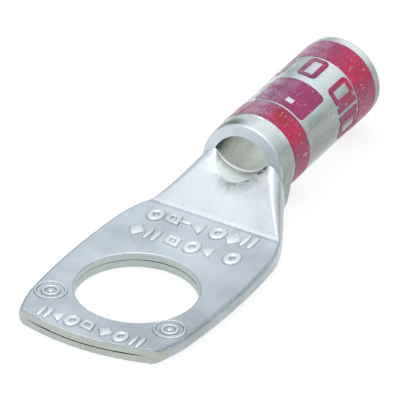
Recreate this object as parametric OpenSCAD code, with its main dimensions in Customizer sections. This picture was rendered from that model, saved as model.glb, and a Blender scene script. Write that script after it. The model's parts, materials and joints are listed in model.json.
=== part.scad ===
// Copper cable lug: one plated tube, left round at one end for the wire and pressed flat at the other for a stud.
// X runs along the lug towards the wire and Z is up. The origin is on the stud hole's axis, level with the underside.

/* [Stud hole] */
// Diameter of the hole for the stud
stud_hole_d = 8.6; // [6.4:0.1:9]
// Rounding of the hole's upper rim, where the punch went in
stud_rim_r = 0.14; // [0.06:0.01:0.25]

/* [Palm] */
// Thickness of the two pressed layers together
palm_t = 1.14; // [1:0.02:1.5]
// Widest part of the palm, over its folded sides
palm_w = 12.7; // [12:0.1:14]
// From the stud hole's axis to the widest part
widest_x = 2; // [0:0.5:4]
// Radius of the long bowed sides, seen from above
side_bow_r = 58; // [45:1:90]
// From the stud hole's axis to the middle of the front edge
front_reach = 7.1; // [6.4:0.1:8.5]
// Radius of the bowed front edge, seen from above
front_bow_r = 15.5; // [13:0.5:30]
// Width across the front corners
front_w = 10.7; // [9.8:0.1:11.4]
// Angle between the lug's axis and its sides near the front corners
front_taper = 20; // [14:1:26]
// How far the front edge is out of square with the lug's axis
front_skew = 2.5; // [0:0.5:4]
// How far the palm is turned about the stud hole, against the barrel's axis
palm_turn = 1.5; // [0:0.5:2]
// Radius of the front corners, seen from above
corner_r = 0.3; // [0.2:0.05:0.8]
// How far the folded sides bulge past the flat faces
fold_bulge = 0.32; // [0.2:0.02:0.5]
// Rounding along the front edge
front_edge_r = 0.08; // [0.04:0.01:0.12]
// Gap left between the two pressed layers
seam_gap = 0.06; // [0.04:0.01:0.1]
// Solid metal between the seam's ends and the folded sides
seam_side = 0.75; // [0.6:0.05:1.2]

/* [Neck] */
// From the stud hole's axis to the crease where the ramp starts
crease_x = 10.2; // [9.6:0.1:11]
// Width of the neck at the crease
crease_w = 10.7; // [10:0.1:11.4]
// Slope of the ramp
ramp_angle = 37; // [33:1:39]
// Along the lug from the crease to the sheared face of the sight window
ramp_run = 3.9; // [3.6:0.1:4.4]
// Width of the ramp's flat top where it meets the window
ramp_top_w = 4; // [3.6:0.1:4.8]
// Height of the neck's widest line at the window
shoulder_z = 1.5; // [1.3:0.1:2.2]
// Width of the flat under the neck at the window
keel_w = 2.8; // [2:0.2:3.6]
// How high the neck's side bulges above its widest line at the window
side_bulge = 1.6; // [1.2:0.1:2]
// Softness of the hollow between the round top and the bulging sides
side_blend = 0.12; // [0.06:0.02:0.2]
// How fast the neck narrows towards the barrel
neck_curve = 1.5; // [1.4:0.05:1.9]
// Length over which the neck becomes a true cylinder beyond the window
blend_len = 2.1; // [1.6:0.1:3]

/* [Sight window] */
// Lean of the sheared face, from upright
face_lean = 7.5; // [4:0.5:10]
// How far the bore's rim is spread by the shear at the sight window
rim_spread = 0.08; // [0.04:0.02:0.16]
// Radius of the pressed lip's hollow
lip_r = 2.6; // [2.4:0.1:3]
// Lowest point of the lip's edge above the barrel's underside
lip_z = 3.05; // [2.95:0.05:3.2]
// Slope of the hollow along the lug
lip_slope = 7; // [4:0.5:10]

/* [Barrel] */
// Outside diameter of the barrel
barrel_d = 6.3; // [6:0.05:6.8]
// Inside diameter of the barrel, where the wire goes
bore_d = 4.6; // [4.4:0.05:4.8]
// Length of barrel from the sight window to its mouth
barrel_len = 14.4; // [12.6:0.1:20]
// Rounding of the mouth's outer edge
mouth_r = 0.25; // [0.1:0.05:0.35]
// Countersink of the mouth's inner edge
mouth_chamfer = 0.15; // [0.05:0.05:0.25]
// Height of the barrel's underside above the palm's underside
barrel_rise = 0.06; // [0.05:0.01:0.2]

/* [Print] */
// Thickness of the printed ink
ink_t = 0.03; // [0.02:0.01:0.04]
// Width of the printed ring next to the neck
neck_ring_w = 2; // [1.4:0.1:2.4]
// Width of the printed ring near the mouth
mouth_ring_w = 2.4; // [1.6:0.1:2.8]
// Bare metal between the mouth and its ring
mouth_bare = 0.85; // [0.6:0.05:1.4]
// Bare metal between the neck's blend and its ring
neck_bare = 0.05; // [0.05:0.05:0.4]
// Bare line between a ring and the print next to it
print_gap = 0.2; // [0.1:0.05:0.4]
// Length of the printed block along the barrel
block_len = 3.4; // [2.4:0.1:3.6]
// Angle round the barrel that the block covers
block_arc = 75; // [50:5:90]
// Side of the block's square window
block_window = 0.6; // [0.4:0.1:0.9]
// Length of the printed tiles along the barrel
tile_len = 2.45; // [1.6:0.05:2.8]
// Width of the printed tiles round the barrel
tile_w = 1.5; // [1:0.1:1.8]
// Width of the lines that the tiles are drawn with
tile_line = 0.4; // [0.25:0.05:0.45]
// Angle from one tile to the next
tile_step = 49; // [40:1:55]

/* [Hidden] */

barrel_r = barrel_d / 2;
bore_r = bore_d / 2;
barrel_z = barrel_rise + barrel_r;
wall = barrel_r - bore_r;
face_x = crease_x + ramp_run;
round_x = face_x + blend_len;
mouth_x = face_x + barrel_len;
face_tan = tan(face_lean);
ramp_tan = tan(ramp_angle);
ramp_top_z = palm_t + ramp_run * ramp_tan;
mid_z = palm_t / 2;

// Points a ring has on each quarter turn, and across each flat
TURN = 10;
FLAT = 11;
// The loft stays this far inside the true cylinder that it runs into
TUCK = 0.006;
// Steps between rings that stand for a sharp edge
EDGE = 0.02;
// The pressed hollow meets the bore with a ledge this high
LEDGE = 0.06;
// How far cutters reach past what they cut
OVER = 1;

function lerp(a, b, t) = a + (b - a) * t;
function clamp01(t) = max(0, min(1, t));
function ease(t) = let (c = clamp01(t)) c * c * (3 - 2 * c);
function soft_min(a, b, k) = min(a, b) - k * ln(1 + exp(-abs(a - b) / k));
function soft_max(a, b, k) = -soft_min(-a, -b, k);
function rounding(r, d) = d >= r ? 0 : r - sqrt(r * r - pow(r - d, 2));

// Half-width of the lug at a place along it, seen from above
function side_line(x) = palm_w / 2 - pow(x - widest_x, 2) / (2 * side_bow_r);
function front_line(x) =
    front_w / 2 + (x + front_reach - pow(front_w / 2, 2) / (2 * front_bow_r)) * tan(front_taper);
function neck_line(x) =
    let (to_round = max(0, round_x - x) / (round_x - crease_x))
    barrel_r + (crease_w / 2 - barrel_r) * pow(to_round, neck_curve);
function half_w(x) = soft_min(soft_min(side_line(x), front_line(x), 0.08), neck_line(x), x < round_x ? 0.3 : EDGE);

// How far a ring's point lies along the lug from its middle: the front edge's bow and skew, gone at the crease
function front_share(x) = clamp01((crease_x - x) / (crease_x + front_reach));
function bow(x, y) = front_share(x) * (y * y / (2 * front_bow_r) - y * tan(front_skew));
// Where a ring's sides lie along the lug, on average
function side_x(x) = (x + bow(x, front_w / 2) + x + bow(x, -front_w / 2)) / 2;
// Middle of a ring: the turned palm's, then easing back onto the barrel's axis
function middle_y(x) =
    -tan(palm_turn) * (x < crease_x ? x : crease_x * (1 - ease((x - crease_x) / (round_x - crease_x))));

// One ring of the outside: [place, half-width, flat top, top, widest line, flat bottom, bottom, lean, round, blend]
// Where round isn't 0, the upper side is a circle of that radius about the barrel's axis, blended into the bulging side
function palm_ring(x) =
    let (in = x + front_reach)
    let (w = half_w(side_x(x)) - rounding(corner_r, in))
    let (inset = rounding(front_edge_r, in))
    [x, w, w - fold_bulge, palm_t - inset, mid_z, w - fold_bulge, inset, 0, 0, 0];

function neck_ring(u) =
    let (x = crease_x + u * ramp_run)
    let (w = half_w(x))
    let (side = lerp(fold_bulge, half_w(face_x) - ramp_top_w / 2, pow(u, 0.7)))
    [
        x,
        w,
        w - side,
        palm_t + u * ramp_run * ramp_tan,
        lerp(mid_z, shoulder_z, ease(u)),
        lerp(w - fold_bulge, keel_w / 2, ease(u)),
        0,
        face_tan * ease(2 * u - 1),
        0,
        0,
    ];

function blend_ring(v) =
    let (w = lerp(half_w(face_x), barrel_r - TUCK, ease(v)))
    let (widest = lerp(shoulder_z, barrel_z, ease(v)))
    [
        face_x + EDGE + v * (blend_len - EDGE),
        w,
        0,
        widest + lerp(side_bulge, barrel_r - TUCK, ease(v)),
        widest,
        lerp(keel_w / 2, 0, ease(v)),
        lerp(0, barrel_rise + TUCK, ease(v)),
        face_tan * ease(1 - 1.6 * v),
        barrel_r - TUCK - (v == 0 ? EDGE * 3 : 0),
        max(side_blend * (1 - v), TUCK / 4),
    ];

// Heights of a ring's upper and lower side at y
function arc_share(y, flat, w) = let (t = clamp01((abs(y) - flat) / (w - flat))) sqrt(1 - t * t);
function upper_z(r, y) = r[4] + (r[3] - r[4]) * arc_share(y, r[2], r[1]);
function lower_z(r, y) = r[4] - (r[4] - r[6]) * arc_share(y, r[5], r[1]);

// Places across a ring, from its left edge to its right edge, close together on the turns
function across(w, flat) =
    let (b = max(flat, 0.35 * w))
    [
        for (i = [0:TURN]) b + (w - b) * cos(90 * i / TURN),
        for (i = [1:FLAT]) b * (1 - 2 * i / (FLAT + 1)),
        for (i = [TURN:-1:0]) -b - (w - b) * cos(90 * i / TURN),
    ];

// Point of a ring's upper side at angle a about its widest line's middle, where circle and side blend
function round_point(r, a) =
    let (up = barrel_z - r[4])
    let (to_circle = up * sin(a) + sqrt(r[8] * r[8] - pow(up * cos(a), 2)))
    let (to_side = 1 / sqrt(pow(cos(a) / r[1], 2) + pow(sin(a) / (r[3] - r[4]), 2)))
    let (d = soft_max(to_circle, to_side, r[9]))
    [d * cos(a), r[4] + d * sin(a)];
function upper_side(r) =
    let (last = 2 * TURN + FLAT + 1)
    r[8] > 0 ? [for (i = [0:last]) round_point(r, 180 * i / last)] : [for (y = across(r[1], r[2])) [y, upper_z(r, y)]];

function ring_point(r, y, z) = [r[0] + r[7] * (z - barrel_z) + bow(r[0], y), y + middle_y(r[0]), z];
function outer_ring(r) =
    let (top = upper_side(r), bottom = across(r[1], r[5]), last = len(top) - 1)
    [
        for (p = top) ring_point(r, p[0], p[1]),
        for (i = [last - 1:-1:1]) ring_point(r, bottom[i], lower_z(r, bottom[i])),
    ];

// Skins a list of rings, closing each end by zipping its upper side to its lower side
module skin(rings) {
    n = len(rings[0]);
    half = n / 2;
    last = (len(rings) - 1) * n;
    sides = [
        for (k = [0:len(rings) - 2], i = [0:n - 1])
            let (a = k * n + i, b = k * n + (i + 1) % n)
            each [[a, a + n, b], [b, a + n, b + n]],
    ];
    first_cap = [
        for (i = [0:half - 1])
            let (a = i, b = i + 1, c = (n - i) % n, d = n - i - 1)
            each concat(i == 0 ? [] : [[a, b, c]], i == half - 1 ? [] : [[c, b, d]]),
    ];
    last_cap = [for (f = first_cap) [f[0] + last, f[2] + last, f[1] + last]];
    polyhedron(points = [for (r = rings) each r], faces = concat(sides, first_cap, last_cap), convexity = 6);
}

palm_steps = [0, 0.02, 0.05, 0.1, 0.18, 0.3, corner_r, 0.8, 1.6, 2.4, 3, 3.6, 4.4, 6, 8, 10, 12, 13.5, 14.7, 15.7, 16.5];
palm_places = [for (d = palm_steps) if (d < crease_x + front_reach - 0.4) d - front_reach];
neck_places = [0, 0.06, 0.14, 0.24, 0.36, 0.5, 0.64, 0.78, 0.9, 1];
blend_places = [0, 0.03, 0.14, 0.28, 0.44, 0.6, 0.76, 0.9, 1];

// The whole outside of the lug up to the true cylinder, with no hollow
module formed_outside() {
    end = blend_ring(1);
    skin([
        for (x = palm_places) outer_ring(palm_ring(x)),
        for (u = neck_places) outer_ring(neck_ring(u)),
        for (v = blend_places) outer_ring(blend_ring(v)),
        outer_ring([end[0] + blend_len / 3, for (i = [1:9]) end[i]]),
    ]);
}

// One ring of the pressed hollow: [place, half-width, top, widest line, bottom, lean]
function seam_ring(x) =
    [x, half_w(side_x(x)) - seam_side, mid_z + seam_gap / 2, mid_z, mid_z - seam_gap / 2, 0];

function hollow_ring(u) =
    let (x = crease_x + u * ramp_run)
    let (low = lerp(mid_z - seam_gap / 2, barrel_rise + wall + LEDGE, u))
    let (wide_z = lerp(mid_z, barrel_z - 0.35 * bore_r, u))
    [
        x,
        lerp(half_w(x) - seam_side, 0.93 * bore_r - LEDGE, ease(u)),
        lerp(mid_z + seam_gap / 2, ramp_top_z - wall / cos(ramp_angle), u),
        wide_z,
        low,
        face_tan * ease(2 * u - 1),
    ];

// The hollow's roof keeps its wall under the pressed lip
function lip_axis_z(x) = barrel_rise + lip_z + lip_r - (face_x - x) * tan(lip_slope);
function under_lip(x, y) = lip_axis_z(x) - sqrt(pow(lip_r + wall, 2) - y * y);
function roof_z(r, y) =
    let (arch = r[3] + (r[2] - r[3]) * sqrt(1 - pow(min(1, abs(y) / r[1]), 2)))
    min(arch, max(under_lip(r[0], min(abs(y), lip_r)), floor_z(r, y) + seam_gap / 2));
function floor_z(r, y) =
    let (c = r[3] - r[4], big = (r[1] * r[1] + c * c) / (2 * c))
    r[4] + big - sqrt(big * big - y * y);
function hollow_point(r, y, z) = [r[0] + r[5] * (z - barrel_z) + bow(r[0], y), y + middle_y(r[0]), z];
function inner_ring(r) =
    let (ys = [for (i = [0:18]) r[1] * cos(10 * i)])
    [
        for (i = [0:18]) hollow_point(r, ys[i], i % 18 == 0 ? r[3] : roof_z(r, ys[i])),
        for (i = [17:-1:1]) hollow_point(r, ys[i], floor_z(r, ys[i])),
    ];

// What is left of the tube's inside: a thin seam through the palm that opens into the barrel
module pressed_hollow() {
    end = hollow_ring(1);
    skin([
        inner_ring(seam_ring(-front_reach - OVER)),
        for (d = [0, 3, 6, 9, 12, 15]) if (d < crease_x + front_reach - 0.5) inner_ring(seam_ring(d - front_reach)),
        for (u = [0, 0.1, 0.2, 0.3, 0.4, 0.5, 0.6, 0.7, 0.8, 0.9, 1]) inner_ring(hollow_ring(u)),
        inner_ring([end[0] + LEDGE, end[1], end[2], end[3], end[4], end[5]]),
    ]);
}

// Everything on the wire's side of the sheared face, from a little before it if start is below 0
module beyond_face(reach, start = 0) {
    translate([face_x, 0, barrel_z])
        rotate([0, face_lean, 0])
            translate([start, -reach, -reach])
                cube([reach, 2 * reach, 2 * reach]);
}

module along_x(x, z) {
    translate([x, 0, z])
        rotate([0, 90, 0])
            children();
}

// The round tube, with its outer edge rounded at the mouth
module barrel() {
    len = mouth_x - round_x;
    along_x(round_x, barrel_z)
        rotate_extrude($fn = 96)
            union() {
                square([barrel_r, len - mouth_r]);
                square([barrel_r - mouth_r, len]);
                translate([barrel_r - mouth_r, len - mouth_r])
                    intersection() {
                        circle(r = mouth_r, $fn = 48);
                        square(mouth_r);
                    }
            }
}

// The wire's bore, spread a little at the sheared face and countersunk at the mouth
module bore() {
    start = face_x - bore_r;
    full_round = face_x + bore_r * face_tan + EDGE;
    intersection() {
        along_x(0, barrel_z)
            rotate_extrude($fn = 96)
                polygon([
                    [0, start],
                    [bore_r + rim_spread, start],
                    [bore_r, full_round],
                    [bore_r, mouth_x - mouth_chamfer],
                    [bore_r + mouth_chamfer + OVER, mouth_x + OVER],
                    [0, mouth_x + OVER],
                ]);
        beyond_face(mouth_x, -EDGE);
    }
}

// The round hollow that presses the ramp's end down into the window's lip
module lip_hollow() {
    reach = 2 * ramp_run;
    difference() {
        translate([face_x, 0, lip_axis_z(face_x)])
            rotate([0, -lip_slope, 0])
                translate([-reach, 0, 0])
                    rotate([0, 90, 0])
                        cylinder(r = lip_r, h = 2 * reach, $fn = 96);
        beyond_face(mouth_x);
    }
}

module stud_hole() {
    translate([0, 0, -OVER])
        cylinder(d = stud_hole_d, h = palm_t + 2 * OVER, $fn = 96);
    // The rim's rounding
    translate([0, 0, palm_t - stud_rim_r])
        rotate_extrude($fn = 96)
            difference() {
                square([stud_hole_d / 2 + stud_rim_r, stud_rim_r + OVER]);
                translate([stud_hole_d / 2 + stud_rim_r, 0])
                    circle(r = stud_rim_r, $fn = 48);
            }
}

module lug() {
    color("#c3ccd4")
        difference() {
            union() {
                formed_outside();
                barrel();
            }
            lip_hollow();
            bore();
            pressed_hollow();
            stud_hole();
        }
}

neck_ring_x = round_x + neck_bare;
mouth_ring_x = mouth_x - mouth_bare - mouth_ring_w;
block_x = neck_ring_x + neck_ring_w + print_gap;
tile_x = mouth_ring_x - print_gap - tile_len;
// Angles round the barrel, from its top towards +y
BLOCK_TURN = -8;
WINDOW_TURN = -15;
FIRST_TILE = 46;
TILES = 4;

// A layer of ink all round the barrel between two places along it
module ink_sleeve(x, len) {
    along_x(x, barrel_z)
        difference() {
            cylinder(r = barrel_r + ink_t, h = len, $fn = 96);
            translate([0, 0, -OVER])
                cylinder(r = barrel_r, h = len + 2 * OVER, $fn = 96);
        }
}

module rounded_rect(len, w, r) {
    square([len - 2 * r, w], center = true);
    square([len, w - 2 * r], center = true);
    for (sx = [-1, 1], sy = [-1, 1])
        translate([sx * (len / 2 - r), sy * (w / 2 - r)])
            circle(r = r, $fn = 32);
}

// A flat shape printed onto the barrel, from place x on, with its middle turned from the barrel's top
module printed(x, len, turn) {
    intersection() {
        ink_sleeve(x - OVER, len + 2 * OVER);
        translate([x + len / 2, 0, barrel_z])
            rotate([-turn, 0, 0])
                linear_extrude(height = 2 * barrel_r)
                    children();
    }
}

module printed_block() {
    w = 2 * barrel_r * sin(block_arc / 2);
    difference() {
        printed(block_x, block_len, BLOCK_TURN)
            rounded_rect(block_len, w, block_window / 2);
        printed(block_x + block_window, block_window, WINDOW_TURN)
            square(block_window, center = true);
    }
}

module outlined_tile(turn) {
    printed(tile_x, tile_len, turn)
        difference() {
            rounded_rect(tile_len, tile_w, tile_line);
            square([tile_len - 2 * tile_line, tile_w - 2 * tile_line], center = true);
        }
}

// Two plain bars between the tiles
module printed_bars(turn) {
    for (side = [-1, 1])
        printed(tile_x, tile_len, turn + side * tile_step / 8)
            square([tile_len, tile_line], center = true);
}

module barrel_print() {
    color("#b43a66") {
        ink_sleeve(neck_ring_x, neck_ring_w);
        ink_sleeve(mouth_ring_x, mouth_ring_w);
        printed_block();
        for (i = [0:TILES - 1]) outlined_tile(FIRST_TILE - i * tile_step);
        printed_bars(FIRST_TILE - 2.5 * tile_step);
    }
}

lug();
barrel_print();
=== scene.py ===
import json
import math
import bpy
from mathutils import Matrix, Vector

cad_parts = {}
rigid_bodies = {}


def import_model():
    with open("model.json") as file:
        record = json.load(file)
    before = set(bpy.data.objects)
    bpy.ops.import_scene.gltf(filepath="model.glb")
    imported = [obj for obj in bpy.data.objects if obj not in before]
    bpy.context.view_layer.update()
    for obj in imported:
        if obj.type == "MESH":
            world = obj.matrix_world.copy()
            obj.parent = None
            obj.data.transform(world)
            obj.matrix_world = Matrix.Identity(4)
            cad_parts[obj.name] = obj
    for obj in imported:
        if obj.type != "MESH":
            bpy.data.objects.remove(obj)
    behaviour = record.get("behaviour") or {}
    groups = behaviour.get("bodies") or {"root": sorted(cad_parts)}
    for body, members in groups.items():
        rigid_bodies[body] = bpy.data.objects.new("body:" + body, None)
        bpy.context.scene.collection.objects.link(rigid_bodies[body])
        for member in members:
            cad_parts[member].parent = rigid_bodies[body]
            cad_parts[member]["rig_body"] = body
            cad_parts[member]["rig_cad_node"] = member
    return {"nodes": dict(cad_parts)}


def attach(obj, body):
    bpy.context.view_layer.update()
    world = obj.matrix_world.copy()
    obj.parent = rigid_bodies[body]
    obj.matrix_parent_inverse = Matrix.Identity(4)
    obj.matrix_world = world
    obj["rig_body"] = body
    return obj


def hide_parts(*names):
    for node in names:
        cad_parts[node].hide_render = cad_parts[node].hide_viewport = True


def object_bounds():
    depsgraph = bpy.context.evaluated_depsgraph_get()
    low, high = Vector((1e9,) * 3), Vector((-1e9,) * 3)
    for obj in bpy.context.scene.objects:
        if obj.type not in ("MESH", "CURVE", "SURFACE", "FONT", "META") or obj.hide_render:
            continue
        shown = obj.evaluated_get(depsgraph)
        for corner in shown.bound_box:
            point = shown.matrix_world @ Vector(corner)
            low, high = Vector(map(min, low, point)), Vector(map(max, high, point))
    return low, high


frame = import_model()
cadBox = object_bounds()
mm = 0.001


def linear(hexColour):
    # sRGB hex to the linear values that a shader socket takes
    parts = [int(hexColour[i:i + 2], 16) / 255 for i in (1, 3, 5)]
    return [p / 12.92 if p <= 0.04045 else ((p + 0.055) / 1.055) ** 2.4 for p in parts] + [1.0]


def addNode(tree, kind, settings=None, inputs=None, out=0):
    # adds one shader node with its settings and links, and returns the output that is asked for
    node = tree.nodes.new("ShaderNode" + kind)
    for name, value in (settings or {}).items():
        if name == "stops":
            elements = node.color_ramp.elements
            while len(elements) < len(value):
                elements.new(0.5)
            for element, (position, colour) in zip(elements, value):
                element.position = position
                element.color = linear(colour)
        else:
            setattr(node, name, value)
    for name, value in (inputs or {}).items():
        if isinstance(value, bpy.types.NodeSocket):
            tree.links.new(value, node.inputs[name])
        else:
            node.inputs[name].default_value = value
    return node.outputs[out] if len(node.outputs) else node


def newMaterial(name):
    material = bpy.data.materials.new(name)
    material.use_nodes = True
    material.node_tree.nodes.clear()
    return material, material.node_tree


def deselectAll():
    for thing in bpy.context.selected_objects:
        thing.select_set(False)


def makeActive(thing):
    deselectAll()
    thing.select_set(True)
    bpy.context.view_layer.objects.active = thing


def applyPlace(thing):
    makeActive(thing)
    bpy.ops.object.transform_apply(location=True, rotation=True, scale=True)


def trimPiece(piece, isWaste):
    # deletes the points that a test names, and closes the holes they leave
    makeActive(piece)
    bpy.ops.object.mode_set(mode="EDIT")
    bpy.ops.mesh.select_all(action="DESELECT")
    bpy.ops.object.mode_set(mode="OBJECT")
    for vertex in piece.data.vertices:
        vertex.select = isWaste(vertex.co)
    bpy.ops.object.mode_set(mode="EDIT")
    bpy.ops.mesh.delete(type="VERT")
    bpy.ops.mesh.select_all(action="SELECT")
    bpy.ops.mesh.fill_holes(sides=0)
    bpy.ops.object.mode_set(mode="OBJECT")


def joinPieces(pieces, name):
    makeActive(pieces[0])
    for piece in pieces:
        piece.select_set(True)
    bpy.ops.object.join()
    pieces[0].name = name
    pieces[0].data.name = name
    return pieces[0]


cameraLook = {"azimuth": 209.013, "elevation": 32.471, "roll": 1.813, "distance": 0.5,
              "target": (0.008445, 0.0, 0.003617), "lens": 657.0, "sensor": 36.0}


def makeCamera():
    azimuth, elevation, roll = (math.radians(cameraLook[name]) for name in ("azimuth", "elevation", "roll"))
    back = Vector((math.cos(elevation) * math.cos(azimuth), math.cos(elevation) * math.sin(azimuth),
                   math.sin(elevation)))
    place = Vector(cameraLook["target"]) + back * cameraLook["distance"]
    right = (-back).cross(Vector((0, 0, 1))).normalized()
    up = right.cross(-back)
    turnedRight = math.cos(roll) * right + math.sin(roll) * up
    turnedUp = -math.sin(roll) * right + math.cos(roll) * up
    bpy.ops.object.camera_add()
    camera = bpy.context.object
    camera.name = "camera"
    camera.data.lens = cameraLook["lens"]
    camera.data.sensor_width = cameraLook["sensor"]
    turn = Matrix((turnedRight, turnedUp, back)).transposed().to_4x4()
    camera.matrix_world = Matrix.Translation(place) @ turn
    bpy.context.scene.camera = camera


makeCamera()
print("camera made")


# stamped marks on the palm: plain shapes that stand in shallow wells
palmTop = 1.14 * mm
markLook = {"tall": 1.6 * mm, "wide": 1.2 * mm, "stroke": 0.2 * mm, "rise": 0.14 * mm,
            "wellGrow": 0.06 * mm, "wellDepth": 0.06 * mm, "squareGrowth": 1.2, "dashShare": 0.8,
            "discRadius": 1.05 * mm, "rimStroke": 0.07 * mm, "rimHeight": 0.8,
            "innerStroke": 1.4, "innerHeight": 0.7, "dotRadius": 0.255 * mm,
            "smoothAngle": 50, "frontGrowth": 0.9,  # the marks in front of the hole are smaller
            # where each stands, in mm: two rows behind the hole, one in front of it, and a disc on each side
            "rows": [(8.6, 3.5, "ring"), (8.75, 2.2, "square"), (8.75, 1.25, "dash"),
                     (8.6, 0.1, "triangle"), (8.8, -1.3, "ring"), (8.75, -2.5, "diamond"),
                     (9.0, -3.65, "bars"),
                     (6.3, 3.7, "diamond"), (6.3, 2.45, "bars"), (6.3, 0.85, "square"),
                     (6.35, -0.65, "ring"), (6.4, -1.9, "triangle"), (6.55, -3.7, "ring"),
                     (-5.9, 3.7, "bars"), (-5.9, 2.65, "triangle"), (-5.85, 1.6, "ring"),
                     (-5.8, 0.45, "square"), (-5.8, -0.95, "diamond"), (-5.8, -2.15, "ring"),
                     (-5.75, -3.4, "bars"),
                     (-3.45, 4.75, "disc"), (-3.3, -4.5, "disc")]}


def addSphere(sides, rings, place=(0, 0, 0), turn=(0, 0, 0)):
    # its points come in another order each run, so they are sorted by their distance from an odd place
    bpy.ops.mesh.primitive_uv_sphere_add(
        segments=sides, ring_count=rings, radius=1, location=place, rotation=turn)
    bpy.context.scene.cursor.location = (-3.17, -2.13, -1.91)
    bpy.ops.object.mode_set(mode="EDIT")
    bpy.ops.mesh.select_all(action="SELECT")
    bpy.ops.mesh.sort_elements(type="CURSOR_DISTANCE", elements={"VERT", "EDGE", "FACE"})
    bpy.ops.object.mode_set(mode="OBJECT")
    bpy.context.scene.cursor.location = (0, 0, 0)  # new pieces land where the cursor is
    return bpy.context.object


def addLoop(sides, radius, stroke, height, stretch=1):
    bpy.ops.mesh.primitive_torus_add(
        major_radius=radius, minor_radius=stroke, major_segments=sides, minor_segments=10)
    loop = bpy.context.object
    loop.scale = (stretch, 1, height / stroke)
    if sides == 4:  # a square stands on its side and not on a corner
        loop.rotation_euler = (0, 0, math.pi / sides)
        applyPlace(loop)
    applyPlace(loop)
    return loop


def addPillow(sides, halfX, halfY, height, offset=0.0):
    pillow = addSphere(sides, 10, place=(0, offset, 0))
    pillow.scale = (halfX, halfY, height)
    applyPlace(pillow)
    return pillow


def makeMark(kind, grow, height):
    look = markLook
    stroke, stretch = look["stroke"] + grow, look["tall"] / look["wide"]
    halfX, halfY = look["tall"] / 2 + grow, look["wide"] / 2 + grow
    radius = look["wide"] / 2 - look["stroke"]
    if kind == "ring":
        parts = [addLoop(28, radius, stroke, height, stretch)]
    elif kind == "square":
        parts = [addLoop(4, radius * look["squareGrowth"], stroke, height, stretch)]
    elif kind == "triangle":
        parts = [addPillow(3, halfX, halfY, height)]
    elif kind == "diamond":
        parts = [addPillow(4, halfX, halfY, height)]
    elif kind == "dash":
        parts = [addPillow(16, stroke * look["dashShare"], halfY * look["dashShare"], height)]
    elif kind == "bars":
        parts = [addPillow(16, halfX, stroke, height, side * look["wide"] / 4) for side in (-1, 1)]
    else:
        rim, dot = look["rimStroke"] + grow, look["dotRadius"] + grow
        innerHeight = height * look["innerHeight"]
        parts = [addLoop(48, look["discRadius"], rim, height * look["rimHeight"]),
                 addLoop(32, look["discRadius"] / 2, rim * look["innerStroke"], innerHeight),
                 addPillow(4, dot, dot, innerHeight)]
    return joinPieces(parts, "mark") if len(parts) > 1 else parts[0]


def makeMarks(name, grow, height):
    # each shape is modelled once and copied to its places
    patterns, copies = {}, []
    for x, y, kind in markLook["rows"]:
        if kind not in patterns:
            patterns[kind] = makeMark(kind, grow, height)
        makeActive(patterns[kind])
        bpy.ops.object.duplicate()
        copy = bpy.context.object
        copy.location = (x * mm, y * mm, palmTop)
        if x < 0 and kind != "disc":
            copy.scale = (markLook["frontGrowth"], markLook["frontGrowth"], 1)
        applyPlace(copy)
        copies.append(copy)
    deselectAll()
    for pattern in patterns.values():
        pattern.select_set(True)
    bpy.ops.object.delete()
    return joinPieces(copies, name)


# the tube itself, smoothed, with its faces sorted by how they were worked, and with painted shade in the
# seam and in the wells of the marks
lugLook = {"mergeDistance": 0.0004 * mm, "sliverWidth": 0.0016 * mm, "flatDissolve": 0.05,
           "smoothAngle": 30, "bigFaceWeight": 80,
           "creaseX": 10.2 * mm, "faceX": 14.1 * mm, "faceLean": 7.5, "faceSlack": 0.03 * mm,
           "axisZ": 3.21 * mm, "boreRadius": 2.3 * mm, "boreSlack": 0.19 * mm, "roundFrom": 17 * mm,
           "hollowRadius": 2.6 * mm, "hollowAxisZ": 5.71 * mm, "hollowSlope": 7, "hollowSlack": 0.03 * mm,
           "holeReach": 4.4 * mm, "holeWall": 4.3 * mm, "holeEdge": 0.14 * mm,
           "frontX": -5.0 * mm, "wellsFrom": -6.9 * mm,
           "seamZ": 0.57 * mm, "seamReach": 0.05 * mm, "seamSpread": 2.6,
           "edgeTilt": 0.75, "uprightTilt": 0.25, "rimTilt": 0.2, "levelTilt": 0.03}  # parts of a normal
lugFinishes = ("tinPlate", "shearedTin", "boreTin", "punchedTin", "shadedWellTin", "pressedTin", "seamShade")


def faceAt(z):
    # where the sheared face of the sight window lies at a height
    return lugLook["faceX"] + (z - lugLook["axisZ"]) * math.tan(math.radians(lugLook["faceLean"]))


def shearedNormal():
    lean = math.radians(lugLook["faceLean"])
    return Vector((-math.cos(lean), 0, math.sin(lean)))


def towardsHollowAxis(place):
    # from a place to the axis of the hollow pressed in front of the window
    slope = math.radians(lugLook["hollowSlope"])
    start = Vector((lugLook["faceX"], 0, lugLook["hollowAxisZ"]))
    along = Vector((math.cos(slope), 0, math.sin(slope)))
    return start + along * (place - start).dot(along) - place


def copyOfNode(nodeName, pieceName):
    # a merged copy of a CAD node, which then stands in for it
    node = frame["nodes"][nodeName]
    makeActive(node)
    bpy.ops.object.duplicate()
    piece = bpy.context.object
    piece.name = pieceName
    piece.data.name = pieceName
    piece.parent = None
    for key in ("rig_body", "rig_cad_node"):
        if key in piece:
            del piece[key]
    piece.data.materials.clear()
    makeActive(piece)
    bpy.ops.object.mode_set(mode="EDIT")
    bpy.ops.mesh.select_all(action="SELECT")
    bpy.ops.mesh.remove_doubles(threshold=lugLook["mergeDistance"])
    bpy.ops.object.mode_set(mode="OBJECT")
    return piece


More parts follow.
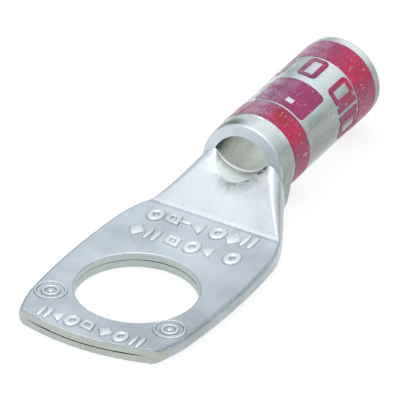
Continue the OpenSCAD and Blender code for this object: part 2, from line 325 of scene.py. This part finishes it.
def smoothPiece(piece):
    makeActive(piece)
    bpy.ops.object.mode_set(mode="EDIT")
    bpy.ops.mesh.select_all(action="SELECT")
    bpy.ops.mesh.dissolve_degenerate(threshold=lugLook["sliverWidth"])
    bpy.ops.mesh.dissolve_limited(angle_limit=math.radians(lugLook["flatDissolve"]))
    bpy.ops.object.mode_set(mode="OBJECT")
    bpy.ops.object.shade_smooth_by_angle(angle=math.radians(lugLook["smoothAngle"]))
    for face in piece.data.polygons:
        if face.normal.dot(shearedNormal()) > 0.999:
            face.use_smooth = False
    bpy.ops.object.modifier_add(type="WEIGHTED_NORMAL")
    piece.modifiers[-1].keep_sharp = True
    piece.modifiers[-1].weight = lugLook["bigFaceWeight"]
    bpy.ops.object.modifier_apply(modifier=piece.modifiers[-1].name)


def flattenShearedFace(lug):
    for vertex in lug.data.vertices:
        plane = faceAt(vertex.co.z)
        if abs(vertex.co.x - plane) < lugLook["faceSlack"]:
            vertex.co.x = plane


def spreadSeam(lug):
    # the closed tube's two layers part a little along the front edge
    for vertex in lug.data.vertices:
        above = vertex.co.z - lugLook["seamZ"]
        if vertex.co.x < lugLook["frontX"] and abs(above) < lugLook["seamReach"]:
            vertex.co.z = lugLook["seamZ"] + above * lugLook["seamSpread"]


def isInBore(place):
    fromAxis = math.hypot(place.y, place.z - lugLook["axisZ"])
    return fromAxis < lugLook["boreRadius"] + lugLook["boreSlack"]


def barrelNormal(face, place):
    # straight out from the axis, or in towards it in the bore, where the rims also lean lengthways
    outward = Vector((0, place.y, place.z - lugLook["axisZ"])).normalized()
    lengthways = face.normal.x if abs(face.normal.x) > lugLook["rimTilt"] else 0.0
    around = math.sqrt(1 - lengthways ** 2)
    if isInBore(face.center):
        return Vector((lengthways, 0, 0)) - outward * around
    return None if lengthways else outward


def holeNormal(face, place):
    # the punched hole has an upright wall and a rounded upper edge
    wall, edge = lugLook["holeWall"], lugLook["holeEdge"]
    fromCentre = math.hypot(place.x, place.y)
    if abs(fromCentre - wall - edge / 2) > 0.6 * edge:  # half the edge's width and a little more
        return None
    outward = Vector((place.x, place.y, 0)) / fromCentre
    if place.z > palmTop - edge and face.normal.z > lugLook["levelTilt"]:
        return (place - outward * (wall + edge) - Vector((0, 0, palmTop - edge))).normalized()
    return -outward if abs(face.normal.z) < lugLook["uprightTilt"] else None


def setTrueNormals(lug):
    # the faces that are flat or round by design shade as if they were cut exactly
    normals = [corner.vector.copy() for corner in lug.data.corner_normals]
    for face in lug.data.polygons:
        places = [lug.data.vertices[index].co for index in face.vertices]
        isSheared = all(abs(place.x - faceAt(place.z)) < lugLook["sliverWidth"] for place in places)
        if isSheared or all(abs(place.z - palmTop) < lugLook["sliverWidth"] for place in places):
            for index in face.loop_indices:
                normals[index] = shearedNormal() if isSheared else Vector((0, 0, 1))
            continue
        for index in face.loop_indices:
            place = lug.data.vertices[lug.data.loops[index].vertex_index].co
            if face.center.x < lugLook["frontX"] and abs(face.normal.z) < lugLook["uprightTilt"]:
                normals[index].z = 0.0  # the sheared front edge stands upright
                normals[index].normalize()
            else:
                roundNormal = barrelNormal if face.center.x > lugLook["roundFrom"] else holeNormal
                normals[index] = roundNormal(face, place) or normals[index]
    lug.data.normals_split_custom_set(normals)


def pressMarks(lug):
    wells = makeMarks("wells", markLook["wellGrow"], markLook["wellDepth"])
    makeActive(lug)
    bpy.ops.object.modifier_add(type="BOOLEAN")
    lug.modifiers[-1].object = wells
    lug.modifiers[-1].operation = "DIFFERENCE"
    lug.modifiers[-1].use_self = True
    bpy.ops.object.modifier_apply(modifier=lug.modifiers[-1].name)
    makeActive(wells)
    bpy.ops.object.delete()


def finishOf(face):
    # which finish a face has, from where it lies and which way it looks
    x, y, z = face.center
    if x > faceAt(z):
        inBore = isInBore(face.center) and abs(face.normal.x) < lugLook["edgeTilt"]
        return "boreTin" if inBore else "tinPlate"
    if x > lugLook["creaseX"]:
        inward = towardsHollowAxis(face.center)
        onWall = abs(inward.length - lugLook["hollowRadius"]) < lugLook["hollowSlack"]
        return "pressedTin" if onWall and face.normal.dot(inward.normalized()) > 0.95 else "tinPlate"
    isSteep = abs(face.normal.z) < lugLook["edgeTilt"]
    # the faces inside the seam's gap get a dark colour: painted shade
    if abs(z - lugLook["seamZ"]) < 3 * lugLook["seamReach"] and not isSteep:
        return "seamShade"
    inHole = math.hypot(x, y) < lugLook["holeReach"]
    if isSteep and z < palmTop - 2 * markLook["wellDepth"]:
        return "shearedTin" if x < lugLook["frontX"] else "punchedTin" if inHole else "tinPlate"
    # the floors of the marks' wells get a darker colour: painted shade
    isSunk = palmTop - 1.5 * markLook["wellDepth"] < z < palmTop - 0.002 * mm and face.normal.z > 0
    return "shadedWellTin" if isSunk and x > lugLook["wellsFrom"] and not inHole else "tinPlate"


def makeLug():
    lug = copyOfNode("lug", "tinnedLug")
    flattenShearedFace(lug)
    spreadSeam(lug)
    pressMarks(lug)
    smoothPiece(lug)
    setTrueNormals(lug)
    for face in lug.data.polygons:
        face.material_index = lugFinishes.index(finishOf(face))
    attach(lug, "root")
    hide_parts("lug")
    return lug


def makePrint():
    ink = copyOfNode("barrel_print", "barrelInk")
    smoothPiece(ink)
    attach(ink, "root")
    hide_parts("barrel_print")
    return ink


lug = makeLug()
print("lug made", len(lug.data.polygons), "faces")
ink = makePrint()
print("print made")
marks = makeMarks("stampedMarks", 0.0, markLook["rise"])
makeActive(marks)
bpy.ops.object.shade_smooth_by_angle(angle=math.radians(markLook["smoothAngle"]))
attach(marks, "root")
print("marks made")


# the edge of the lip under the sight window and the crease, as beads in a pale, little metallic finish that
# paints a highlight
lipLook = {"thickness": 0.11 * mm, "flatness": 0.3, "facing": (-0.42, 0, 0.91), "halfSpan": 2.1 * mm,
           "centreY": -0.12 * mm, "taper": 6, "thinnest": 0.1, "lowered": (-0.05 * mm, 0, -0.02 * mm)}
creaseLook = {"radius": 0.09 * mm, "height": 0.5, "beads": [(10.22, 0.0, 5.1, 1.0), (9.5, 3.6, 1.9, 0.4)]}


def makeLipEdge():
    lean = math.radians(lugLook["faceLean"])
    middle = Vector((faceAt(lugLook["hollowAxisZ"]), 0, lugLook["hollowAxisZ"]))
    bpy.ops.mesh.primitive_torus_add(
        major_radius=lugLook["hollowRadius"], minor_radius=lipLook["thickness"], major_segments=160,
        minor_segments=12, location=middle, rotation=(0, math.pi / 2 + lean, 0))
    edge = bpy.context.object
    edge.name = "lipEdge"
    applyPlace(edge)
    upright = Vector((math.sin(lean), 0, math.cos(lean)))

    def coreOf(co):
        # the nearest point on the middle line of the bead
        place = co - middle
        outward = Vector((0, place.y, 0)) + upright * place.dot(upright)
        return middle + outward.normalized() * lugLook["hollowRadius"]

    def alongOf(core):
        # 0 in the middle of the bead and 1 at its ends
        return abs(core.y - lipLook["centreY"]) / lipLook["halfSpan"]

    trimPiece(edge, lambda co: coreOf(co).z > middle.z or alongOf(coreOf(co)) > 1)
    for vertex in edge.data.vertices:
        # flattened where the wire rubs over it, and thinning out towards both ends
        core = coreOf(vertex.co)
        share = 1 - alongOf(core) ** lipLook["taper"]
        offset = (vertex.co - core) * max(lipLook["thinnest"], share)
        facing = Vector(lipLook["facing"])
        flattened = offset - facing * offset.dot(facing) * (1 - lipLook["flatness"])
        vertex.co = core + Vector(lipLook["lowered"]) + flattened
    return edge


def makeCrease():
    beads = []
    for x, y, half, share in creaseLook["beads"]:
        radius = creaseLook["radius"] * share
        bead = addSphere(16, 24, turn=(math.pi / 2, 0, 0))
        applyPlace(bead)
        bead.scale = (radius, half * mm, radius * creaseLook["height"])
        bead.location = (x * mm, y * mm, palmTop)
        applyPlace(bead)
        beads.append(bead)
    return joinPieces(beads, "creaseBead")


lipEdge = makeLipEdge()
crease = makeCrease()
for piece in (lipEdge, crease):
    makeActive(piece)
    bpy.ops.object.shade_smooth()
    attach(piece, "root")
print("lip edge and crease made")


# the tin plate: its colours on the palm, the barrel and the folded sides, its smudges, and painted shade and
# painted highlights
tinLook = {"palm": "#e1e7ed", "barrel": "#eef4f2", "palmSideShaded": "#b2bdc0", "barrelSideShaded": "#666d6b",
           "smudge": "#828e8a", "darkBehindFace": "#535e5c", "hollowShade": "#8c9793", "rubbed": "#f7fafc",
           "hollowShadeReach": 0.6 * mm, "creaseShadowLine": 9.98 * mm, "barrelFrom": 0.03 * mm, "barrelTo": 0.3 * mm,
           # stretches of painted shade and painted highlight: from, to, and the brightness at both ends
           "paintedShades": [("along", "SMOOTHSTEP", -6.0 * mm, 11.0 * mm, 0.93, 1.01),  # painted shade towards the front edge
                      ("across", "LINEAR", -4.5 * mm, -0.5 * mm, 0.9, 1.0),  # painted shade towards the right side
                      ("along", "SMOOTHSTEP", 7.8 * mm, 9.9 * mm, 1.0, 1.12),  # a painted highlight in front of the crease's shadow line
                      ("along", "LINEAR", 10.1 * mm, 10.3 * mm, 1.0, 0.86),  # painted shade on the slope behind the crease
                      ("along", "SMOOTHSTEP", 12.6 * mm, 14.0 * mm, 1.0, 1.1)],  # a painted highlight just before the window
           "cloudSize": 3.6, "blotchSize": 1.3, "speckSize": 0.5,  # these and the next three are in mm
           "rubLength": 5.0, "rubWidth": 0.09,
           "grainSize": 0.16}  # the real grain is some 0.01 mm, drawn coarser so that it shows
tinFinishes = {
    "tinPlate": {"roughness": 0.34, "bump": 0.006, "rubShare": 0.3},
    "shearedTin": {"colour": "#bfc5be", "roughness": 0.42, "bump": 0.01},
    "boreTin": {"colour": "#f2f5f0", "roughness": 0.26, "bump": 0.0008, "rubShare": 0.05},
    "punchedTin": {"colour": "#b3bfbd", "roughness": 0.3, "bump": 0.006, "rubShare": 0.25},
    # painted shade on the floors of the marks' wells
    "shadedWellTin": {"colour": "#b9c4cc", "roughness": 0.4, "bump": 0.004},
    "pressedTin": {"colour": "#dae3df", "roughness": 0.45, "bump": 0.003, "rubShare": 0.2,
                   "metallic": 0.65},
    # painted shade inside the seam's gap
    "seamShade": {"colour": "#4c524c", "roughness": 0.6, "bump": 0.004},
    # pale, little metallic finishes that paint a highlight on the lip and crease beads
    "lipHighlight": {"colour": "#ffffff", "roughness": 0.2, "bump": 0.002, "metallic": 0.1},
    "creaseHighlight": {"colour": "#fbfdfe", "roughness": 0.3, "bump": 0.003, "metallic": 0.5},
    "stampedTin": {"colour": "#f6f8fb", "roughness": 0.3, "bump": 0.004, "metallic": 0.7}}


def tinTints(tree, place):
    # the barrel differs a little from the palm, sideways faces are darker (a duller finish on the folds and
    # painted shade), and there are smudges, a darker patch and painted shade round the hollow
    look = tinLook
    lean, slope = math.radians(lugLook["faceLean"]), math.radians(lugLook["hollowSlope"])
    along = addNode(tree, "SeparateXYZ", None, {0: place}, "X")
    across = addNode(tree, "SeparateXYZ", None, {0: place}, "Y")
    normal = addNode(tree, "NewGeometry", None, None, "Normal")
    sidewards = addNode(tree, "Math", {"operation": "ABSOLUTE"}, {
        0: addNode(tree, "SeparateXYZ", None, {0: normal}, "Y")})
    pastFace = addNode(tree, "VectorMath", {"operation": "DOT_PRODUCT"}, {
        0: place, 1: (math.cos(lean), 0, -math.sin(lean))}, "Value")
    plane = faceAt(0) * math.cos(lean)  # what pastFace is on the sheared face
    onBarrel = addNode(tree, "MapRange", None, {
        "Value": pastFace, "From Min": plane + look["barrelFrom"], "From Max": plane + look["barrelTo"]})
    top = addNode(tree, "Mix", {"data_type": "RGBA"}, {
        0: onBarrel, 6: linear(look["palm"]), 7: linear(look["barrel"])}, 2)
    side = addNode(tree, "Mix", {"data_type": "RGBA"}, {
        0: onBarrel, 6: linear(look["palmSideShaded"]), 7: linear(look["barrelSideShaded"])}, 2)
    # faces that look sideways get a darker colour, partly a duller finish on the folds and partly painted
    # shade, darkest on the barrel
    sideShadeShare = addNode(tree, "MapRange", None, {
        "Value": sidewards, "From Min": 0.72, "From Max": 1.0, "To Max": 0.75})
    base = addNode(tree, "Mix", {"data_type": "RGBA"}, {0: sideShadeShare, 6: top, 7: side}, 2)

    # smudges on the side of the barrel that was handled
    blotches = addNode(tree, "TexNoise", None, {
        "Vector": place, "Scale": 1000 / look["blotchSize"], "Detail": 3.0})
    blotch = addNode(tree, "MapRange", None, {"Value": blotches, "From Min": 0.42, "From Max": 0.56})
    handled = addNode(tree, "MapRange", None, {
        "Value": across, "From Min": -0.5 * mm, "From Max": 2.0 * mm, "To Max": 0.55})
    smudged = addNode(tree, "Math", {"operation": "MULTIPLY"}, {0: blotch, 1: handled})
    smudged = addNode(tree, "Math", {"operation": "MULTIPLY"}, {0: smudged, 1: onBarrel})
    base = addNode(tree, "Mix", {"data_type": "RGBA"}, {0: smudged, 6: base, 7: linear(look["smudge"])}, 2)

    # a darker patch on the left, just behind the sheared face
    behind = addNode(tree, "MapRange", {"interpolation_type": "SMOOTHSTEP"}, {
        "Value": pastFace, "From Min": plane + 1.3 * mm, "From Max": plane + 0.45 * mm})
    darkPatchShare = addNode(tree, "MapRange", {"interpolation_type": "SMOOTHSTEP"}, {
        "Value": across, "From Min": -0.1 * mm, "From Max": 1.2 * mm, "To Max": 0.85})
    darkPatchShare = addNode(tree, "Math", {"operation": "MULTIPLY"}, {0: behind, 1: darkPatchShare})
    darkPatchShare = addNode(tree, "Math", {"operation": "MULTIPLY"}, {0: darkPatchShare, 1: onBarrel})
    base = addNode(tree, "Mix", {"data_type": "RGBA"}, {
        0: darkPatchShare, 6: base, 7: linear(look["darkBehindFace"])}, 2)

    # painted shade round the edge of the hollow under the lip, broken up by specks
    fromAxis = addNode(tree, "VectorMath", {"operation": "SUBTRACT"}, {
        0: place, 1: (lugLook["faceX"], 0, lugLook["hollowAxisZ"])})
    onAxis = addNode(tree, "VectorMath", {"operation": "PROJECT"}, {
        0: fromAxis, 1: (math.cos(slope), 0, math.sin(slope))})
    away = addNode(tree, "VectorMath", {"operation": "DISTANCE"}, {0: fromAxis, 1: onAxis}, "Value")
    specks = addNode(tree, "TexNoise", None, {
        "Vector": place, "Scale": 1000 / look["speckSize"], "Detail": 3.0})
    hollowShade = 1.0
    for value, low, high, least, most in (
            (away, lugLook["hollowRadius"] + look["hollowShadeReach"], lugLook["hollowRadius"], 0.0, 1.0),
            (along, 11.2 * mm, 12.2 * mm, 0.0, 1.0),
            (pastFace, plane, plane - 0.1 * mm, 0.0, 1.0),
            (across, 1.4 * mm, -0.2 * mm, 0.15, 1.0),
            (specks, 0.35, 0.55, 0.4, 1.0)):
        share = addNode(tree, "MapRange", None, {
            "Value": value, "From Min": low, "From Max": high, "To Min": least, "To Max": most})
        hollowShade = addNode(tree, "Math", {"operation": "MULTIPLY"}, {0: share, 1: hollowShade})
    base = addNode(tree, "Mix", {"data_type": "RGBA"}, {0: hollowShade, 6: base, 7: linear(look["hollowShade"])}, 2)

    # a painted shadow line in front of the crease, and the stretches of painted shade and painted highlight
    fromLine = addNode(tree, "Math", {"operation": "SUBTRACT"}, {0: along, 1: look["creaseShadowLine"]})
    fromLine = addNode(tree, "Math", {"operation": "ABSOLUTE"}, {0: fromLine})
    paintedLightness = addNode(tree, "MapRange", None, {
        "Value": fromLine, "From Min": 0.16 * mm, "From Max": 0.04 * mm, "To Min": 1.0, "To Max": 0.8})
    for direction, blend, start, end, first, last in look["paintedShades"]:
        shade = addNode(tree, "MapRange", {"interpolation_type": blend}, {
            "Value": along if direction == "along" else across, "From Min": start, "From Max": end,
            "To Min": first, "To Max": last})
        paintedLightness = addNode(tree, "Math", {"operation": "MULTIPLY"}, {0: paintedLightness, 1: shade})
    return addNode(tree, "VectorMath", {"operation": "SCALE"}, {0: base, "Scale": paintedLightness})


def tinMetal(name):
    # electroplated tin: a soft blue-white metal with a cloudy sheen, fine rubbing marks and a faint grain
    look, finish = tinLook, tinFinishes[name]
    material, tree = newMaterial(name)
    place = addNode(tree, "TexCoord", None, None, "Object")
    cloud, grain = (addNode(tree, "TexNoise", None, {
        "Vector": place, "Scale": 1000 / look[size], "Detail": 3.0}) for size in ("cloudSize", "grainSize"))
    rubs = []
    for turn, length, low in ((8, look["rubLength"], 0.58), (62, look["rubLength"] / 2, 0.62)):
        turned = addNode(tree, "Mapping", {"vector_type": "TEXTURE"}, {
            "Vector": place, "Rotation": (0, 0, math.radians(turn)),
            "Scale": (length * mm, look["rubWidth"] * mm, look["rubWidth"] * mm)})
        streaks = addNode(tree, "TexNoise", None, {"Vector": turned, "Scale": 1.0, "Detail": 2.0})
        rubs.append(addNode(tree, "MapRange", None, {
            "Value": streaks, "From Min": low, "From Max": low + 0.11}))
    rubbed = addNode(tree, "Math", {"operation": "MAXIMUM"}, {0: rubs[0], 1: rubs[1]})
    base = linear(finish["colour"]) if "colour" in finish else tinTints(tree, place)
    cloudShade = addNode(tree, "MapRange", None, {
        "Value": cloud, "From Min": 0.32, "From Max": 0.68, "To Min": 0.83, "To Max": 1.08})
    grainShade = addNode(tree, "MapRange", None, {
        "Value": grain, "From Min": 0.3, "From Max": 0.7, "To Min": 0.97, "To Max": 1.03})
    shade = addNode(tree, "Math", {"operation": "MULTIPLY"}, {0: cloudShade, 1: grainShade})
    base = addNode(tree, "VectorMath", {"operation": "SCALE"}, {
        0: base[:3] if isinstance(base, list) else base, "Scale": shade})
    bright = addNode(tree, "Math", {"operation": "MULTIPLY"}, {0: rubbed, 1: finish.get("rubShare", 0.4)})
    base = addNode(tree, "Mix", {"data_type": "RGBA"}, {0: bright, 6: base, 7: linear(look["rubbed"])}, 2)
    rough = addNode(tree, "MapRange", None, {
        "Value": cloud, "From Min": 0.3, "From Max": 0.7,
        "To Min": finish["roughness"] - 0.06, "To Max": finish["roughness"] + 0.08})
    rough = addNode(tree, "Math", {"operation": "MULTIPLY_ADD"}, {0: rubbed, 1: 0.08, 2: rough})
    height = addNode(tree, "Math", {"operation": "MULTIPLY_ADD"}, {0: cloud, 1: 6.0, 2: grain})
    height = addNode(tree, "Math", {"operation": "MULTIPLY_ADD"}, {0: rubbed, 1: 0.8, 2: height})
    bump = addNode(tree, "Bump", None, {
        "Height": height, "Distance": finish["bump"] * mm, "Strength": 1.0})
    metal = addNode(tree, "BsdfPrincipled", None, {
        "Base Color": base, "Metallic": finish.get("metallic", 1.0), "Roughness": rough, "Normal": bump})
    addNode(tree, "OutputMaterial", None, {"Surface": metal})
    return material


# the printed ink: its hues from the right side of the barrel to the left, and where it is worn
inkLook = {"hues": [(0.0, "#ae3460"), (0.08, "#d42a56"), (0.28, "#c82c5e"),
                    (0.5, "#a8386e"), (0.7, "#ac3e74"), (1.0, "#b04c78")], "halfSpread": 3.0 * mm,
           "wornTowards": (-0.06, 1, 0), "wornFrom": -1.96 * mm, "wornTo": 0.14 * mm, "bare": "#e2dcea",
           "speckSize": 0.13, "cloudSize": 0.9,  # in mm
           "redSpot": (17.3 * mm, -1.2 * mm, 6.1 * mm), "redRadius": 0.8 * mm, "red": "#c01f2c",
           "blockX": 20.9 * mm, "block": "#96397a"}


def markingInk():
    # rubbed-on marking ink: satin, thinner on the handled side, with bright metal showing in specks
    look = inkLook
    material, tree = newMaterial("markingInk")
    place = addNode(tree, "TexCoord", None, None, "Object")
    across = addNode(tree, "SeparateXYZ", None, {0: place}, "Y")
    cloud, speck = (addNode(tree, "TexNoise", None, {
        "Vector": place, "Scale": 1000 / look[size], "Detail": 3.0}) for size in ("cloudSize", "speckSize"))
    spread = addNode(tree, "MapRange", None, {
        "Value": across, "From Min": -look["halfSpread"], "From Max": look["halfSpread"]})
    colour = addNode(tree, "ValToRGB", {"stops": look["hues"]}, {"Fac": spread})

    # the block's ink is more purple than the rings'
    along = addNode(tree, "SeparateXYZ", None, {0: place}, "X")
    fromBlock = addNode(tree, "Math", {"operation": "SUBTRACT"}, {0: along, 1: look["blockX"]})
    fromBlock = addNode(tree, "Math", {"operation": "ABSOLUTE"}, {0: fromBlock})
    inBlock = addNode(tree, "MapRange", None, {
        "Value": fromBlock, "From Min": 3.1 * mm, "From Max": 2.5 * mm, "To Max": 0.6})
    colour = addNode(tree, "Mix", {"data_type": "RGBA"}, {
        0: inBlock, 6: colour, 7: linear(look["block"])}, 2)

    # a spot where the ink is thick and redder, and a cloudy unevenness all over
    distance = addNode(tree, "VectorMath", {"operation": "DISTANCE"}, {
        0: place, 1: look["redSpot"]}, "Value")
    distance = addNode(tree, "Math", {"operation": "MULTIPLY_ADD"}, {0: cloud, 1: 0.9 * mm, 2: distance})
    nearSpot = addNode(tree, "MapRange", None, {
        "Value": distance, "From Min": look["redRadius"] * 1.5, "From Max": look["redRadius"],
        "To Max": 0.8})
    colour = addNode(tree, "Mix", {"data_type": "RGBA"}, {
        0: nearSpot, 6: colour, 7: linear(look["red"])}, 2)
    shade = addNode(tree, "MapRange", None, {
        "Value": cloud, "From Min": 0.3, "From Max": 0.7, "To Min": 0.76, "To Max": 1.0})
    colour = addNode(tree, "VectorMath", {"operation": "SCALE"}, {0: colour, "Scale": shade})

    # thin ink on the handled side, and small chips everywhere
    sideways = addNode(tree, "VectorMath", {"operation": "DOT_PRODUCT"}, {
        0: place, 1: look["wornTowards"]}, "Value")
    handled = addNode(tree, "MapRange", None, {
        "Value": sideways, "From Min": look["wornFrom"], "From Max": look["wornTo"], "To Max": 0.68})
    uneven = addNode(tree, "Math", {"operation": "ADD"}, {0: cloud, 1: speck})
    thin = addNode(tree, "MapRange", None, {"Value": uneven, "From Min": 0.8, "From Max": 1.2})
    thin = addNode(tree, "Math", {"operation": "MULTIPLY"}, {0: handled, 1: thin})
    stretched = addNode(tree, "Mapping", {"vector_type": "TEXTURE"}, {
        "Vector": place, "Scale": (0.8 * mm, 0.1 * mm, 0.1 * mm)})
    streak = addNode(tree, "TexNoise", None, {"Vector": stretched, "Scale": 1.0, "Detail": 2.0})
    chipped = addNode(tree, "Math", {"operation": "ADD"}, {0: speck, 1: streak})
    chipped = addNode(tree, "MapRange", None, {"Value": chipped, "From Min": 1.23, "From Max": 1.31})
    bare = addNode(tree, "Math", {"operation": "MAXIMUM"}, {0: thin, 1: chipped})
    colour = addNode(tree, "Mix", {"data_type": "RGBA"}, {0: bare, 6: colour, 7: linear(look["bare"])}, 2)
    height = addNode(tree, "Math", {"operation": "SUBTRACT"}, {0: speck, 1: bare})
    bump = addNode(tree, "Bump", None, {"Height": height, "Distance": 0.006 * mm, "Strength": 1.0})
    metallic = addNode(tree, "Math", {"operation": "MULTIPLY"}, {0: bare, 1: 0.7})
    rough = addNode(tree, "MapRange", None, {
        "Value": cloud, "From Min": 0.3, "From Max": 0.7, "To Min": 0.3, "To Max": 0.5})
    satin = addNode(tree, "BsdfPrincipled", None, {
        "Base Color": colour, "Metallic": metallic, "Roughness": rough, "Normal": bump})
    addNode(tree, "OutputMaterial", None, {"Surface": satin})
    return material


for name in lugFinishes:
    lug.data.materials.append(tinMetal(name))
lipEdge.data.materials.append(tinMetal("lipHighlight"))
crease.data.materials.append(tinMetal("creaseHighlight"))
marks.data.materials.append(tinMetal("stampedTin"))
ink.data.materials.append(markingInk())
print("materials made")


# floor and light: a pale table, and a room that is darker near the floor than overhead
studio = {"floorColour": "#eeefee", "floorGlow": 0.8, "floorFade": 0.7,
          "floorSize": 1.2, "floorMiddle": 0.01, "floorDrop": 0.02 * mm,
          "lampPlace": (0.0, 0.02, 0.4), "lampSize": 0.2, "lampWatts": 0.14,
          "skyStops": [(0.5, "#8c958f"), (0.6, "#b6c0be"), (0.69, "#c6d0d2"), (0.77, "#cfdae4"),
                       (0.88, "#f5f7fc"), (0.94, "#ffffff")], "skyStrength": 1.04}


def makeFloor():
    # matt paint that also glows towards the eye and in reflections, so that it stays pale round the lug
    floorZ = cadBox[0].z - studio["floorDrop"]
    bpy.ops.mesh.primitive_plane_add(size=studio["floorSize"], location=(studio["floorMiddle"], 0, floorZ))
    floor = bpy.context.object
    floor.name = "floor"
    applyPlace(floor)
    material, tree = newMaterial("paleFloor")
    paint = addNode(tree, "BsdfDiffuse", None, {"Color": linear(studio["floorColour"])})
    glow = addNode(tree, "Emission", None, {"Strength": studio["floorGlow"]})
    faded = addNode(tree, "MixShader", None, {"Fac": studio["floorFade"], 1: paint})
    seen = addNode(tree, "AddShader", None, {0: glow, 1: faded})
    direct = 0.0
    for ray in ("Is Camera Ray", "Is Glossy Ray", "Is Transmission Ray"):
        isRay = addNode(tree, "LightPath", None, None, ray)
        direct = addNode(tree, "Math", {"operation": "MAXIMUM"}, {0: isRay, 1: direct})
    mix = addNode(tree, "MixShader", None, {"Fac": direct, 1: paint, 2: seen})
    addNode(tree, "OutputMaterial", None, {"Surface": mix})
    floor.data.materials.append(material)


def makeRoom():
    # the light from all round, by how high it comes from
    world = bpy.data.worlds.new("studio")
    bpy.context.scene.world = world
    world.use_nodes = True
    tree = world.node_tree
    tree.nodes.clear()
    direction = addNode(tree, "TexCoord", None, None, "Generated")
    height = addNode(tree, "SeparateXYZ", None, {0: direction}, "Z")
    height = addNode(tree, "MapRange", None, {"Value": height, "From Min": -1.0, "From Max": 1.0})
    sky = addNode(tree, "ValToRGB", {"stops": studio["skyStops"]}, {"Fac": height})
    room = addNode(tree, "Background", None, {"Color": sky, "Strength": studio["skyStrength"]})
    addNode(tree, "OutputWorld", None, {"Surface": room})


def makeLamp():
    bpy.ops.object.light_add(type="AREA", location=studio["lampPlace"])
    lamp = bpy.context.object
    lamp.name = "overhead"
    lamp.data.shape = "DISK"
    lamp.data.size = studio["lampSize"]
    lamp.data.energy = studio["lampWatts"]
    lamp.rotation_mode = "QUATERNION"
    lamp.rotation_quaternion = Vector(studio["lampPlace"]).to_track_quat("Z", "Y")


makeFloor()
makeRoom()
makeLamp()
bpy.context.scene.view_settings.view_transform = "Standard"
print("stage made")
